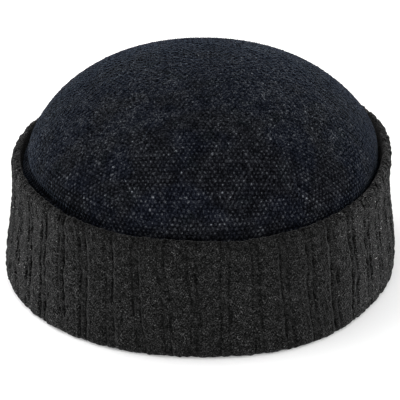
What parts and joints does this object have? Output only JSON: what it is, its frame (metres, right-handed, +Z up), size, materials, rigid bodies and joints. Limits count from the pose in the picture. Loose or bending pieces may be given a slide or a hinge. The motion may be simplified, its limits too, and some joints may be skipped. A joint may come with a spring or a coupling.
{
  "type": "docker beanie",
  "caption": "Brimless knit cap with a shallow woven dome crown sewn in gores and a deep turned-up cuff of rib knit.",
  "frame": {"origin": "centre of the bottom of the bounding box, on the surface that the hat stands on, below the middle of the head opening", "axes": "+Z up through the crown, +Y towards the back of the hat along its longer axis, +X across it"},
  "size_m": [0.1891, 0.1989, 0.1086],
  "materials": {
    "rib_knit": "charcoal wool melange rib knit, soft and slightly fuzzy",
    "tweed": "navy and black salt-and-pepper wool tweed, matt, with pale flecks"
  },
  "bodies": {
    "root": {"cuff": "rib_knit", "crown_gore_1": "tweed", "crown_gore_2": "tweed", "crown_gore_3": "tweed", "crown_gore_4": "tweed", "crown_gore_5": "tweed", "crown_gore_6": "tweed"}
  },
  "joints": []
}
